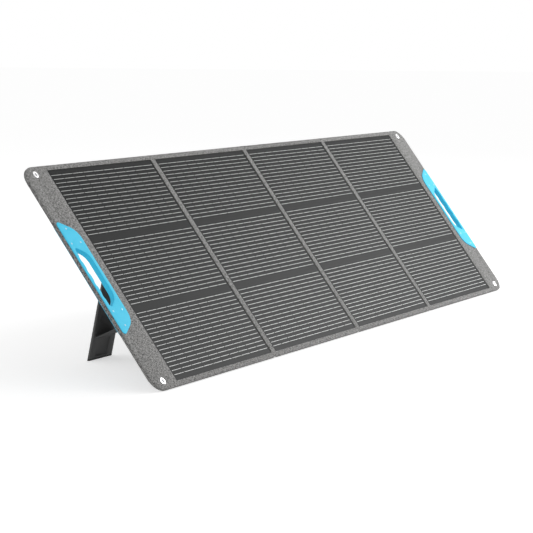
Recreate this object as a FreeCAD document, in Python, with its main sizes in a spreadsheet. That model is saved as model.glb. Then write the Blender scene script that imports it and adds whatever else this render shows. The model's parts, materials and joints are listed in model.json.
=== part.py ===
import FreeCAD, Part
import Sketcher
import os
import re

# A four-section folding solar panel that leans back on two legs.
#
# Panel frame, in millimetres: x runs along the panel from its middle, y runs up the panel from
# its bottom edge and z points out of the front face, with z = 0 on the fabric's front face.
# Each sub-part is drawn flat in that frame, and its Placement then leans it back on the ground.
# Leg frame: the same directions with the leg closed, and its origin on the leg's hinge axis.
# The overcut is how far a cutting shape runs past the face that it cuts through.

SIZES = {
    # Whole panel
    "fold_pitch": 496.0,
    "fold_band": 20.0,
    "strip_width": 16.0,
    "end_border": 97.0,
    "panel_height": 622.0,
    "corner_radius": 40.0,
    "panel_angle": 53.4,
    "overcut": 1.0,
    # Layers, front to back
    "fabric": 1.5,
    "film": 0.3,
    "cell_thickness": 0.4,
    "backsheet": 0.8,
    "ribbon_thickness": 0.3,
    "board_floor": 4.2,
    "side_wall": 1.0,
    # Solar sheet
    "window_margin": 13.0,
    "fit_gap": 0.3,
    "cell_width": 45.5,
    "cell_height": 182.0,
    "cell_gap": 1.0,
    "row_gap": 15.2,
    "ribbon_width": 5.0,
    "ribbon_inset": 12.0,
    # Folds
    "crease_gap": 0.6,
    # Handles
    "plate_thickness": 2.0,
    "plate_inset": 2.5,
    "plate_depth": 65.5,
    "plate_outer_half": 161.0,
    "plate_inner_half": 126.0,
    "plate_outer_radius": 9.0,
    "plate_inner_radius": 42.0,
    "slot_inset": 14.5,
    "slot_depth": 42.0,
    "slot_outer_half": 86.0,
    "slot_inner_half": 60.0,
    "slot_outer_radius": 6.0,
    "slot_inner_radius": 34.0,
    "collar_wall": 2.0,
    "scallop_radius": 20.0,
    "scallop_cut": 2.5,
    "scallop_pitch": 34.0,
    "handle_screw_radius": 2.5,
    "screw_tip_gap": 0.6,
    "handle_screw_head": 0.8,
    "shank_radius": 1.5,
    "shank_gap": 0.1,
    "screw_near": 14.0,
    "screw_far": 51.5,
    "screw_rise": 94.0,
    "screw_tip_inset": 26.5,
    "screw_tip_rise": 134.6,
    # Eyelets
    "eyelet_inset": 42.0,
    "eyelet_margin": 22.0,
    "eyelet_bore": 4.5,
    "eyelet_barrel": 5.5,
    "eyelet_flange": 9.0,
    "flange_thickness": 1.0,
    # Legs
    "leg_centre": 707.0,
    "leg_width": 106.0,
    "leg_thickness": 6.0,
    "leg_open": 49.1,
    "hinge_height": 497.0,
    "hinge_offset": 7.0,
    "foot_height": 5.0,
    "leg_window_width": 56.0,
    "leg_window_height": 46.0,
    "leg_window_rise": 9.5,
    "leg_window_depth": 3.5,
    "leg_corner": 3.0,
    "knuckle_radius": 4.0,
    "knuckle_length": 46.0,
    "knuckle_gap": 0.5,
    "leg_top_gap": 9.0,
    "pin_radius": 2.0,
    "pin_gap": 0.05,
    "pin_end": 2.0,
    "base_plate_length": 100.0,
    "base_plate_width": 30.0,
    "base_plate_thickness": 2.0,
    "side_knuckle_length": 18.0,
    "rivet_radius": 3.0,
    "rivet_head": 1.0,
    "rivet_x": 42.0,
    "rivet_y": 10.5,
    "rivet_grip": 3.0,
    # Straps
    "strap_width": 94.0,
    "strap_thickness": 1.2,
    "strap_rise": 62.0,
    "strap_height": 226.0,
    "strap_end_gap": 1.0,
    "bar_width": 9.0,
    "bar_thickness": 2.0,
    # Junction box, on the back of the right outer section
    "box_x": 588.0,
    "box_y": 470.0,
    "box_length": 92.0,
    "box_width": 60.0,
    "box_depth": 14.0,
    "box_wall": 2.5,
    "box_corner": 6.0,
    "lid_thickness": 2.5,
    "seal_thickness": 1.0,
    "seal_width": 1.5,
    "boss_radius": 4.0,
    "boss_inset": 7.0,
    "box_screw_head_radius": 3.0,
    "box_screw_head": 1.2,
    "board_thickness": 1.6,
    "board_clearance": 1.0,
    "standoff": 2.0,
    "socket_radius": 6.0,
    "socket_bore": 3.0,
    "socket_wall": 1.5,
    "socket_nose": 8.0,
    "diode_radius": 2.5,
    "diode_length": 10.0,
    "diode_pitch": 14.0,
}

# Lengths that follow from the driving sizes, as expressions of them.
DERIVED = {
    "thickness": "(2 * fabric + film + cell_thickness + backsheet + ribbon_thickness + board_floor)",
    "half_length": "(2 * fold_pitch - fold_band / 2 + end_border)",
    "half_height": "(panel_height / 2)",
    "window_length": "(fold_pitch - fold_band)",
    "window_height": "(panel_height - 2 * window_margin)",
    "sheet_depth": "(film + cell_thickness + backsheet + ribbon_thickness)",
    "hinge_depth": "(thickness + hinge_offset)",
    "axis_rise": "(hinge_height * sin(panel_angle) - hinge_offset * cos(panel_angle))",
    "axis_back": "(hinge_height * cos(panel_angle) + hinge_depth * sin(panel_angle))",
    "leg_turn": "(panel_angle + leg_open)",
    "leg_reach": "(axis_rise / sin(leg_turn))",
    "heel_slope": "(cos(leg_turn) / sin(leg_turn))",
    "foot_back": "(axis_back - leg_reach * cos(leg_turn) + leg_thickness / 2 / sin(leg_turn))",
    "grip": "(leg_reach - strap_rise)",
    "strap_y": "(hinge_height - grip * cos(leg_open) - bar_face * sin(leg_open))",
    "strap_z": "(hinge_depth + grip * sin(leg_open) - bar_face * cos(leg_open))",
    "bar_face": "(leg_thickness / 2 + bar_thickness)",
    "box_z": "(thickness + box_depth)",
    "lid_z": "(box_z + seal_thickness)",
}

SECTIONS = ("left_outer", "left_inner", "right_inner", "right_outer")
SIDES = {"left": -1, "right": 1}

doc = FreeCAD.newDocument("FoldingSolarPanel")
sheet = doc.addObject("Spreadsheet::Sheet", "Sizes")
parts = []


def fill_sheet():
    """Writes each driving size into the sheet, with its name beside it."""
    for row, (name, value) in enumerate(SIZES.items(), start=1):
        sheet.set("A%d" % row, name)
        sheet.set("B%d" % row, "%g" % value)
        sheet.setAlias("B%d" % row, name)
    doc.recompute()


def formula(text):
    """Turns an expression of plain names into one that reads the sheet."""
    text = str(text)
    angles = ("panel_angle", "leg_open")
    while any(re.search(r"\b%s\b" % name, text) for name in DERIVED):
        for name, meaning in DERIVED.items():
            text = re.sub(r"\b%s\b" % name, meaning, text)
    for name in SIZES:
        unit = " * 1 deg" if name in angles else ""
        text = re.sub(r"(?<![\w.])%s\b" % name, "(Sizes.%s%s)" % (name, unit), text)
    return text


def bind(thing, **sizes):
    """Binds properties to expressions; a double underscore stands for a dot."""
    for name, text in sizes.items():
        thing.setExpression(name.replace("__", "."), formula(text))
    return thing


def label(thing, name):
    """Names a finished sub-part."""
    thing.Label = name
    parts.append(thing)
    return thing


def lean(thing, name):
    """Places a sub-part drawn in the panel frame: leaned back, with its back edge on the ground."""
    thing.Placement = FreeCAD.Placement(FreeCAD.Vector(), FreeCAD.Rotation(FreeCAD.Vector(1, 0, 0), 1))
    bind(thing, Placement__Rotation__Angle="panel_angle",
         Placement__Base__y="-foot_back / 2",
         Placement__Base__z="thickness * cos(panel_angle)")
    return label(thing, name)


def stand(thing, name, side):
    """Places a sub-part drawn in the leg frame: on its hinge axis, swung open."""
    thing.Placement = FreeCAD.Placement(FreeCAD.Vector(), FreeCAD.Rotation(FreeCAD.Vector(1, 0, 0), 1))
    bind(thing, Placement__Rotation__Angle="leg_turn",
         Placement__Base__x="%d * leg_centre" % side,
         Placement__Base__y="axis_back - foot_back / 2",
         Placement__Base__z="axis_rise")
    return label(thing, name)


# Part primitives, each in the frame of the sub-part that it belongs to.

def box(x, y, z, length, width, height):
    """A block from its low corner and its three lengths."""
    block = doc.addObject("Part::Box", "Block")
    return bind(block, Placement__Base__x=x, Placement__Base__y=y, Placement__Base__z=z,
                Length=length, Width=width, Height=height)


def rod(x, y, z, radius, length, direction="z"):
    """A cylinder from the centre of its low end, along z, x or y."""
    turns = {"z": ((0, 0, 1), 0), "x": ((0, 1, 0), 90), "y": ((1, 0, 0), -90)}
    axis, angle = turns[direction]
    cylinder = doc.addObject("Part::Cylinder", "Rod")
    cylinder.Placement.Rotation = FreeCAD.Rotation(FreeCAD.Vector(*axis), angle)
    return bind(cylinder, Placement__Base__x=x, Placement__Base__y=y, Placement__Base__z=z,
                Radius=radius, Height=length)


def group(things):
    """Several shapes as one group of separate solids."""
    compound = doc.addObject("Part::Compound", "Group")
    compound.Links = things
    return compound


def fuse(things):
    """Several shapes as one solid."""
    union = doc.addObject("Part::MultiFuse", "Union")
    union.Shapes = things
    return union


def cut(base, tools):
    """A shape with others taken away."""
    rest = doc.addObject("Part::Cut", "Cut")
    rest.Base = base
    rest.Tool = tools[0] if len(tools) == 1 else group(tools)
    return rest


def upright_edges(shape, test):
    """Numbers of the edges along z whose place passes the test."""
    numbers = []
    for number, edge in enumerate(shape.Edges, start=1):
        ends = [vertex.Point for vertex in edge.Vertexes]
        upright = len(ends) == 2 and (ends[0] - ends[1]).cross(FreeCAD.Vector(0, 0, 1)).Length < 1e-6
        if upright and test(ends[0]):
            numbers.append(number)
    return numbers


def rounded(base, radius, test):
    """A Part shape with the chosen upright edges rounded."""
    doc.recompute()
    numbers = upright_edges(base.Shape, test)
    fillet = doc.addObject("Part::Fillet", "Round")
    fillet.Base = base
    fillet.Edges = [(number, radius, radius) for number in numbers]
    return fillet


# PartDesign helpers.

def plane_of(body, role):
    """One of a body's own origin planes."""
    return [feature for feature in body.Origin.OriginFeatures if feature.Role == role][0]


def new_body(name):
    return doc.addObject("PartDesign::Body", name)


def new_sketch(body, role="XY_Plane", depth="0"):
    """An empty sketch on an origin plane, moved along its normal."""
    sketch = body.newObject("Sketcher::SketchObject", "Sketch")
    sketch.AttachmentSupport = [(plane_of(body, role), "")]
    sketch.MapMode = "FlatFace"
    return bind(sketch, AttachmentOffset__Base__z=depth)


def outline(sketch, corners):
    """A closed outline of straight lines, with each corner's two distances from the origin bound."""
    count = len(corners)
    starts = [FreeCAD.Vector(10.0 * k, 10.0 * k * (count - k), 0) for k in range(count)]
    for k in range(count):
        here = starts[k]
        line = sketch.addGeometry(Part.LineSegment(here, starts[(k + 1) % count]), False)
        along = sketch.addConstraint(Sketcher.Constraint("DistanceX", -1, 1, line, 1, here.x))
        up = sketch.addConstraint(Sketcher.Constraint("DistanceY", -1, 1, line, 1, here.y))
        sketch.setExpression("Constraints[%d]" % along, formula(corners[k][0]))
        sketch.setExpression("Constraints[%d]" % up, formula(corners[k][1]))
    first = sketch.GeometryCount - count
    for k in range(count):
        follower = first + (k + 1) % count
        sketch.addConstraint(Sketcher.Constraint("Coincident", first + k, 2, follower, 1))


def pad(body, sketch, length, both=False):
    """Material from a sketch, along its normal, or half each way."""
    feature = body.newObject("PartDesign::Pad", "Pad")
    feature.Profile = sketch
    feature.Midplane = both
    bind(feature, Length=length)
    doc.recompute()
    return feature


def pocket(body, sketch, length=None, back=False):
    """Material taken away from a sketch: through everything both ways, or to a depth."""
    before = body.Shape.Volume
    feature = body.newObject("PartDesign::Pocket", "Pocket")
    feature.Profile = sketch
    if length is None:
        feature.Type = "ThroughAll"
        feature.Midplane = True
    else:
        feature.Reversed = back
        bind(feature, Length=length)
    doc.recompute()
    if body.Shape.Volume > before - 1e-6:
        raise RuntimeError("a pocket in %s cuts nothing" % body.Name)
    return feature


def fillet(body, radius, test):
    """Rounds the upright edges of a body whose place passes the test."""
    base = body.Tip
    names = ["Edge%d" % number for number in upright_edges(base.Shape, test)]
    feature = body.newObject("PartDesign::Fillet", "Fillet")
    feature.Base = (base, names)
    bind(feature, Radius=radius)
    doc.recompute()
    return feature


# Where things lie in the panel frame.

def window_low(section):
    """The left edge of a section's window."""
    return "(%d * fold_pitch + fold_band / 2)" % (SECTIONS.index(section) - 2)


def stiff_span(section):
    """The two ends of a section's stiff part."""
    left = "(%d * fold_pitch + strip_width / 2)" % (SECTIONS.index(section) - 2)
    right = "(%d * fold_pitch - strip_width / 2)" % (SECTIONS.index(section) - 1)
    return {"left_outer": ("(-half_length)", right),
            "right_outer": (left, "half_length")}.get(section, (left, right))


def fabric_span(section):
    """The two ends of a section's front fabric, which reaches to the crease of a front fold."""
    return {"left_outer": ("(-half_length)", "(-fold_pitch - crease_gap / 2)"),
            "left_inner": ("(-fold_pitch + crease_gap / 2)", "(-strip_width / 2)"),
            "right_inner": ("(strip_width / 2)", "(fold_pitch - crease_gap / 2)"),
            "right_outer": ("(fold_pitch + crease_gap / 2)", "half_length")}[section]


def side_of(section):
    return SIDES[section.split("_")[0]]


def inset_x(side, inset):
    """A place measured in from a panel's end."""
    return "%d * (half_length - (%s))" % (side, inset)


def plate_prism(side, near, far, near_half, far_half, radii, low, height):
    """A block with a long outer side, a short inner side and round corners, beside a panel's end."""
    body = new_body("Prism")
    sketch = new_sketch(body, depth=low)
    outline(sketch, [(inset_x(side, near), "half_height - (%s)" % near_half),
                     (inset_x(side, near), "half_height + (%s)" % near_half),
                     (inset_x(side, far), "half_height + (%s)" % far_half),
                     (inset_x(side, far), "half_height - (%s)" % far_half)])
    pad(body, sketch, height)
    middle = abs(body.Shape.BoundBox.Center.x)
    fillet(body, radii[0], lambda place: abs(place.x) > middle)
    fillet(body, radii[1], lambda place: abs(place.x) < middle)
    return body


def slot_prism(side, growth, low, height):
    """The hand slot's space, or a larger one around it; growth is how much larger on each side."""
    return plate_prism(side, "slot_inset - (%s)" % growth, "slot_inset + slot_depth + (%s)" % growth,
                       "slot_outer_half + (%s)" % growth, "slot_inner_half + (%s)" % growth,
                       ("slot_outer_radius + (%s)" % growth, "slot_inner_radius + (%s)" % growth),
                       low, height)


def scallops(side):
    """Round cuts for four fingers in the slot's outer side."""
    centre = inset_x(side, "slot_inset - scallop_cut + scallop_radius")
    places = ["half_height + %g * scallop_pitch" % step for step in (-1.5, -0.5, 0.5, 1.5)]
    return [rod(centre, y, "-thickness - 2 * plate_thickness", "scallop_radius",
                "thickness + 4 * plate_thickness") for y in places]


def screw_places(side):
    """Where a handle's six screws go: two and one at each end."""
    near = [(inset_x(side, inset), "screw_rise") for inset in ("screw_near", "screw_far")]
    tip = [(inset_x(side, "screw_tip_inset"), "screw_tip_rise")]
    return [(x, "half_height %s %s" % (sign, rise)) for sign in "-+" for x, rise in near + tip]


def eyelet_places(side):
    x = inset_x(side, "eyelet_inset")
    return [(x, "eyelet_margin"), (x, "panel_height - eyelet_margin")]


def rivet_places(side):
    """Where a leg hinge's four rivets go."""
    return [("%d * leg_centre %s rivet_x" % (side, across), "hinge_height %s rivet_y" % up)
            for across in "-+" for up in "-+"]


def through_holes(side):
    """The holes that an outer section has from front to back, as tools for a cut."""
    low, height = "-thickness - overcut", "thickness + 2 * overcut"
    screws = [rod(x, y, low, "shank_radius + shank_gap", height) for x, y in screw_places(side)]
    rings = [rod(x, y, low, "eyelet_barrel + shank_gap", height) for x, y in eyelet_places(side)]
    hand = slot_prism(side, "scallop_cut + collar_wall + fit_gap", low, height)
    return screws + rings + [hand]


def rivet_holes(side):
    """The blind holes for the hinge's rivets in the back of an outer section."""
    return [rod(x, y, "-thickness - overcut", "shank_radius + shank_gap", "rivet_grip + overcut")
            for x, y in rivet_places(side)]


# Sections

def is_outer_corner(place):
    return abs(place.x) > 1.5 * sheet.get("fold_pitch")


def sheet_block(section, span, edge, low, height):
    """A block over a section's whole height, with its two outer corners round on an outer section."""
    block = box("%s + (%s)" % (span[0], edge), edge, low,
                "%s - %s - 2 * (%s)" % (span[1], span[0], edge), "panel_height - 2 * (%s)" % edge, height)
    if section.endswith("outer"):
        radius = sheet.get("corner_radius") - (sheet.get(edge) if edge != "0" else 0)
        return rounded(block, radius, is_outer_corner)
    return block


def window_block(section, edge, low, height):
    """A block the size of a section's window, or larger by an edge all round."""
    return box("%s - (%s)" % (window_low(section), edge), "window_margin - (%s)" % edge, low,
               "window_length + 2 * (%s)" % edge, "window_height + 2 * (%s)" % edge, height)


def make_front_fabric(section):
    whole = sheet_block(section, fabric_span(section), "0", "-fabric", "fabric")
    tools = [window_block(section, "0", "-2 * fabric", "3 * fabric")]
    if section.endswith("outer"):
        tools += through_holes(side_of(section))
    lean(cut(whole, tools), section + "_front_fabric")


def make_core_board(section):
    low, height = "-thickness + fabric", "thickness - 2 * fabric"
    whole = sheet_block(section, stiff_span(section), "side_wall", low, height)
    tools = [window_block(section, "fit_gap", "-fabric - sheet_depth", "sheet_depth + overcut")]
    if section.endswith("outer"):
        side = side_of(section)
        tools += through_holes(side) + rivet_holes(side)
    lean(cut(whole, tools), section + "_core_board")


def make_back_cover(section):
    whole = sheet_block(section, stiff_span(section), "0", "-thickness", "thickness - fabric")
    tools = [sheet_block(section, stiff_span(section), "side_wall", "-thickness + fabric", "thickness")]
    if section.endswith("outer"):
        side = side_of(section)
        tools += through_holes(side) + rivet_holes(side)
    lean(cut(whole, tools), section + "_back_cover")


def make_solar_sheet(section):
    """The film, the cells, the backsheet and the ribbons behind it."""
    film = window_block(section, "0", "-fabric - film", "film")
    lean(group([film]), section + "_front_film")
    row_pitch, cell_pitch = "(cell_height + row_gap)", "(cell_width + cell_gap)"
    first_x = "%s + (window_length - 10 * cell_width - 9 * cell_gap) / 2" % window_low(section)
    first_y = "half_height - 1.5 * cell_height - row_gap"
    cells = [box("%s + %d * %s" % (first_x, column, cell_pitch), "%s + %d * %s" % (first_y, row, row_pitch),
                 "-fabric - film - cell_thickness", "cell_width", "cell_height", "cell_thickness")
             for row in range(3) for column in range(10)]
    lean(group(cells), section + "_cells")
    backsheet = window_block(section, "0", "-fabric - film - cell_thickness - backsheet", "backsheet")
    lean(group([backsheet]), section + "_backsheet")
    ribbons = [box("%s + %s" % (window_low(section), x), "window_margin + ribbon_inset",
                   "-fabric - sheet_depth", "ribbon_width", "window_height - 2 * ribbon_inset",
                   "ribbon_thickness")
               for x in ("ribbon_inset", "window_length - ribbon_inset - ribbon_width")]
    lean(group(ribbons), section + "_bus_ribbons")


def make_spine_strip():
    strip = box("-strip_width / 2 + fit_gap", "0", "-fabric", "strip_width - 2 * fit_gap",
                "panel_height", "fabric")
    lean(group([strip]), "spine_strip")


# Handles

def make_handle(name, side):
    def plate(low):
        return plate_prism(side, "plate_inset", "plate_inset + plate_depth", "plate_outer_half",
                           "plate_inner_half", ("plate_outer_radius", "plate_inner_radius"),
                           low, "plate_thickness")

    def slot():
        return [slot_prism(side, "0", "-thickness - 2 * plate_thickness",
                           "thickness + 4 * plate_thickness")] + scallops(side)

    def holes(low, height):
        return [rod(x, y, low, "shank_radius + shank_gap", height) for x, y in screw_places(side)]

    lean(cut(plate("0"), slot() + holes("-overcut", "plate_thickness + 2 * overcut")), name + "_handle_front")
    collar = slot_prism(side, "scallop_cut + collar_wall", "-thickness", "thickness")
    back = cut(fuse([plate("-thickness - plate_thickness"), collar]),
               slot() + holes("-thickness - plate_thickness + screw_tip_gap", "thickness"))
    lean(back, name + "_handle_back")
    screws = []
    for x, y in screw_places(side):
        shank = rod(x, y, "-thickness - plate_thickness + screw_tip_gap", "shank_radius",
                    "thickness + 2 * plate_thickness - screw_tip_gap")
        head = rod(x, y, "plate_thickness", "handle_screw_radius", "handle_screw_head")
        screws.append(fuse([shank, head]))
    lean(group(screws), name + "_handle_screws")


def make_eyelets(name, side):
    rings = []
    for x, y in eyelet_places(side):
        whole = fuse([rod(x, y, "-thickness", "eyelet_barrel", "thickness"),
                      rod(x, y, "0", "eyelet_flange", "flange_thickness"),
                      rod(x, y, "-thickness - flange_thickness", "eyelet_flange", "flange_thickness")])
        bore = rod(x, y, "-thickness - 2 * flange_thickness", "eyelet_bore",
                   "thickness + 4 * flange_thickness")
        rings.append(cut(whole, [bore]))
    lean(group(rings), name + "_eyelets")


# Legs

def make_leg_hinge(name, side):
    """The base plate on the section's back with two knuckles, its rivets and the pin."""
    centre = "%d * leg_centre" % side
    plate = box(centre + " - base_plate_length / 2", "hinge_height - base_plate_width / 2",
                "-thickness - base_plate_thickness", "base_plate_length", "base_plate_width",
                "base_plate_thickness")
    solids = [plate]
    for start in ("- knuckle_length / 2 - knuckle_gap - side_knuckle_length",
                  "+ knuckle_length / 2 + knuckle_gap"):
        low = "%s %s" % (centre, start)
        solids.append(rod(low, "hinge_height", "-hinge_depth", "knuckle_radius", "side_knuckle_length", "x"))
        solids.append(box(low, "hinge_height - knuckle_radius", "-hinge_depth", "side_knuckle_length",
                          "2 * knuckle_radius", "hinge_offset - base_plate_thickness / 2"))
    reach = "(knuckle_length / 2 + knuckle_gap + side_knuckle_length + pin_end)"
    bore = rod("%s - %s" % (centre, reach), "hinge_height", "-hinge_depth", "pin_radius + pin_gap",
               "2 * %s" % reach, "x")
    rivet_cuts = [rod(x, y, "-hinge_depth", "shank_radius + shank_gap", "hinge_depth")
                  for x, y in rivet_places(side)]
    lean(cut(fuse(solids), [bore] + rivet_cuts), name + "_hinge_base")
    pin = rod("%s - %s" % (centre, reach), "hinge_height", "-hinge_depth", "pin_radius", "2 * %s" % reach, "x")
    lean(group([pin]), name + "_hinge_pin")
    rivets = []
    for x, y in rivet_places(side):
        shank = rod(x, y, "-thickness - base_plate_thickness", "shank_radius",
                    "base_plate_thickness + rivet_grip - shank_gap")
        head = rod(x, y, "-thickness - base_plate_thickness - rivet_head", "rivet_radius", "rivet_head")
        rivets.append(fuse([shank, head]))
    lean(group(rivets), name + "_hinge_rivets")


def make_leg(name, side):
    """The leg board with its window, its hinge tab and knuckle, and the rubber foot."""
    body = new_body("Leg")
    board = new_sketch(body)
    low, high = "-(leg_reach - foot_height)", "-leg_top_gap"
    outline(board, [("-leg_width / 2", low), ("leg_width / 2", low), ("leg_width / 2", high),
                    ("-leg_width / 2", high)])
    pad(body, board, "leg_thickness", both=True)
    top = 0.5 * body.Shape.BoundBox.YMin
    fillet(body, "leg_corner", lambda place: place.y > top)
    window = new_sketch(body, depth="leg_thickness / 2")
    rise = "-(leg_reach - leg_window_rise)"
    outline(window, [("-leg_window_width / 2", rise), ("leg_window_width / 2", rise),
                     ("leg_window_width / 2", rise + " + leg_window_height"),
                     ("-leg_window_width / 2", rise + " + leg_window_height")])
    pocket(body, window, "leg_window_depth")
    knuckle = rod("-knuckle_length / 2", "0", "0", "knuckle_radius", "knuckle_length", "x")
    tab = box("-knuckle_length / 2", "-leg_top_gap - overcut", "-leg_thickness / 3", "knuckle_length",
              "leg_top_gap + overcut", "2 * leg_thickness / 3")
    bore = rod("-knuckle_length", "0", "0", "pin_radius + pin_gap", "2 * knuckle_length", "x")
    stand(cut(fuse([body, knuckle, tab]), [bore]), name + "_leg_board", side)

    foot = new_body("Foot")
    profile = new_sketch(foot, "YZ_Plane")
    inner, outer = "leg_thickness / 2", "-leg_thickness / 2"
    outline(profile, [("-leg_reach - (%s) * heel_slope" % outer, outer),
                      ("-leg_reach - (%s) * heel_slope" % inner, inner), (low, inner), (low, outer)])
    pad(foot, profile, "leg_width", both=True)
    stand(group([foot]), name + "_leg_foot", side)


def make_strap(name, side):
    """The limp strap that stops the leg, and the two bars that hold its ends."""
    centre = "%d * leg_centre" % side
    across, out = "(strap_y - strap_height)", "(strap_z - thickness - bar_thickness)"
    web = group([box("-strap_width / 2", "strap_end_gap", "-strap_thickness / 2", "strap_width",
                     "sqrt(%s ^ 2 + %s ^ 2) - 2 * strap_end_gap" % (across, out), "strap_thickness")])
    web.Placement = FreeCAD.Placement(FreeCAD.Vector(), FreeCAD.Rotation(FreeCAD.Vector(1, 0, 0), 1))
    bind(web, Placement__Base__x=centre, Placement__Base__y="strap_height",
         Placement__Base__z="-thickness - bar_thickness",
         Placement__Rotation__Angle="-atan2(%s; %s)" % (out, across))
    lean(group([web]), name + "_strap")
    back_bar = box(centre + " - strap_width / 2", "strap_height - bar_width / 2",
                   "-thickness - bar_thickness", "strap_width", "bar_width", "bar_thickness")
    lean(group([back_bar]), name + "_strap_back_bar")
    leg_bar = box("-strap_width / 2", "-grip - bar_width / 2", "leg_thickness / 2", "strap_width",
                  "bar_width", "bar_thickness")
    stand(group([leg_bar]), name + "_strap_leg_bar", side)


# Junction box

def box_screw_places():
    return [("box_x %s (box_length / 2 - boss_inset)" % across, "box_y %s (box_width / 2 - boss_inset)" % up)
            for across in "-+" for up in "-+"]


def box_block(edge, low, height):
    """A block of the junction box's outline, smaller by an edge all round."""
    block = box("box_x - box_length / 2 + (%s)" % edge, "box_y - box_width / 2 + (%s)" % edge, low,
                "box_length - 2 * (%s)" % edge, "box_width - 2 * (%s)" % edge, height)
    shrink = {"0": 0, "box_wall": sheet.get("box_wall"),
              "seal_width": sheet.get("seal_width")}[edge]
    return rounded(block, sheet.get("box_corner") - shrink, lambda place: True)


def make_junction_box():
    inside = box_block("box_wall", "-box_z - overcut", "box_depth - box_wall + overcut")
    shell = cut(box_block("0", "-box_z", "box_depth"), [inside])
    floor = "-thickness - box_wall"
    bosses = [rod(x, y, "-box_z", "boss_radius", "box_depth - box_wall / 2")
              for x, y in box_screw_places()]
    posts = [rod("box_x %s box_length / 5" % sign, "box_y", floor + " - standoff", "boss_radius / 2",
                 "standoff + box_wall / 2") for sign in "-+"]
    neck_hole = rod("box_x", "box_y - box_width / 2 - overcut", "-thickness - box_depth / 2",
                    "socket_bore + socket_wall + shank_gap", "box_wall + 2 * overcut", "y")
    threads = [rod(x, y, "-box_z - overcut", "shank_radius + shank_gap",
                   "box_depth - box_wall + overcut")
               for x, y in box_screw_places()]
    lean(cut(fuse([shell] + bosses + posts), [neck_hole] + threads), "junction_box_base")
    hollow = box_block("seal_width", "-lid_z - overcut", "seal_thickness + 2 * overcut")
    lean(cut(box_block("0", "-lid_z", "seal_thickness"), [hollow]), "junction_box_seal")
    lid_holes = [rod(x, y, "-lid_z - lid_thickness - overcut", "shank_radius + shank_gap",
                     "lid_thickness + 2 * overcut")
                 for x, y in box_screw_places()]
    lean(cut(box_block("0", "-lid_z - lid_thickness", "lid_thickness"), lid_holes), "junction_box_lid")
    screws = []
    for x, y in box_screw_places():
        shank = rod(x, y, "-lid_z - lid_thickness", "shank_radius",
                    "lid_thickness + seal_thickness + box_depth - 2 * box_wall")
        head = rod(x, y, "-lid_z - lid_thickness - box_screw_head", "box_screw_head_radius", "box_screw_head")
        screws.append(fuse([shank, head]))
    lean(group(screws), "junction_box_screws")
    card_x = "(boss_inset + boss_radius + board_clearance)"
    card_y = "(box_wall + board_clearance)"
    card = box("box_x - box_length / 2 + %s" % card_x, "box_y - box_width / 2 + %s + socket_nose / 2" % card_y,
               floor + " - standoff - board_thickness", "box_length - 2 * %s" % card_x,
               "box_width - 2 * %s - socket_nose / 2" % card_y, "board_thickness")
    lean(group([card]), "diode_card")
    diodes = [rod("box_x - diode_length / 2", "box_y + %d * diode_pitch" % step,
                  floor + " - standoff - board_thickness - diode_radius", "diode_radius", "diode_length", "x")
              for step in (-1, 0, 1)]
    lean(group(diodes), "bypass_diodes")
    socket_z = "-thickness - box_depth / 2"
    nose = rod("box_x", "box_y - box_width / 2 - socket_nose", socket_z, "socket_radius", "socket_nose", "y")
    neck = rod("box_x", "box_y - box_width / 2 - socket_wall", socket_z, "socket_bore + socket_wall",
               "box_wall + socket_wall", "y")
    mouth = rod("box_x", "box_y - box_width / 2 - socket_nose - overcut", socket_z, "socket_bore",
                "socket_nose + overcut - socket_wall", "y")
    lean(cut(fuse([nose, neck]), [mouth]), "output_socket")


def make_all():
    for section in SECTIONS:
        make_front_fabric(section)
        make_back_cover(section)
        make_core_board(section)
        make_solar_sheet(section)
    make_spine_strip()
    for name, side in SIDES.items():
        make_handle(name, side)
        make_eyelets(name, side)
        make_leg_hinge(name, side)
        make_leg(name, side)
        make_strap(name, side)
    make_junction_box()


def check_document():
    """Stops if any object failed or any sub-part has no sound shape."""
    doc.recompute()
    for thing in doc.Objects:
        if {"Invalid", "Error"} & set(thing.State):
            raise RuntimeError("%s (%s) failed: %s" % (thing.Name, thing.Label, thing.State))
    for part in parts:
        if part.Shape.isNull() or not part.Shape.isValid() or not part.Shape.Solids:
            raise RuntimeError("%s has no sound shape" % part.Label)


def export():
    os.makedirs("parts", exist_ok=True)
    for part in parts:
        part.Shape.exportStep("parts/%s.step" % part.Label)
        print("%-28s %3d solids %12.1f mm3" % (part.Label, len(part.Shape.Solids), part.Shape.Volume))
    print("%d sub-parts" % len(parts))


fill_sheet()
make_all()
check_document()
export()
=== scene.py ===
"""Looks of a four-section folding solar panel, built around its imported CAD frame.

Panel frame: x runs along the panel from its middle, y up the panel from its bottom edge and z out
of the front face, with z = 0 on the front cover. Lengths are in metres.
"""

import json
import math

import bpy
from bpy.props import FloatProperty, FloatVectorProperty, PointerProperty
from mathutils import Matrix, Vector


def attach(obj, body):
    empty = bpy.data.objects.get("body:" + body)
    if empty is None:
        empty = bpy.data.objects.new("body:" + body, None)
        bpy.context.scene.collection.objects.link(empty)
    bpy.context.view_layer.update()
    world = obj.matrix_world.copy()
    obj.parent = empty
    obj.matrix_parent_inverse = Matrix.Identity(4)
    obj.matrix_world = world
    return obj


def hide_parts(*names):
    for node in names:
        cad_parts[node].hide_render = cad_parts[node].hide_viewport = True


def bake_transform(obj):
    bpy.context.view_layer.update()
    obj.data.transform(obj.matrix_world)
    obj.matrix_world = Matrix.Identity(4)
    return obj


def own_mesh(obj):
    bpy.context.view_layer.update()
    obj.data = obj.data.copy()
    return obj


bl_info = {
    "name": "Folding Solar Panel",
    "version": (1, 0, 0),
    "blender": (4, 2, 0),
    "location": "View3D > Sidebar > Solar Panel",
    "description": "Builds the covers, laminates, handles, legs and stage of a folding solar panel",
    "category": "Add Mesh",
}

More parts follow.
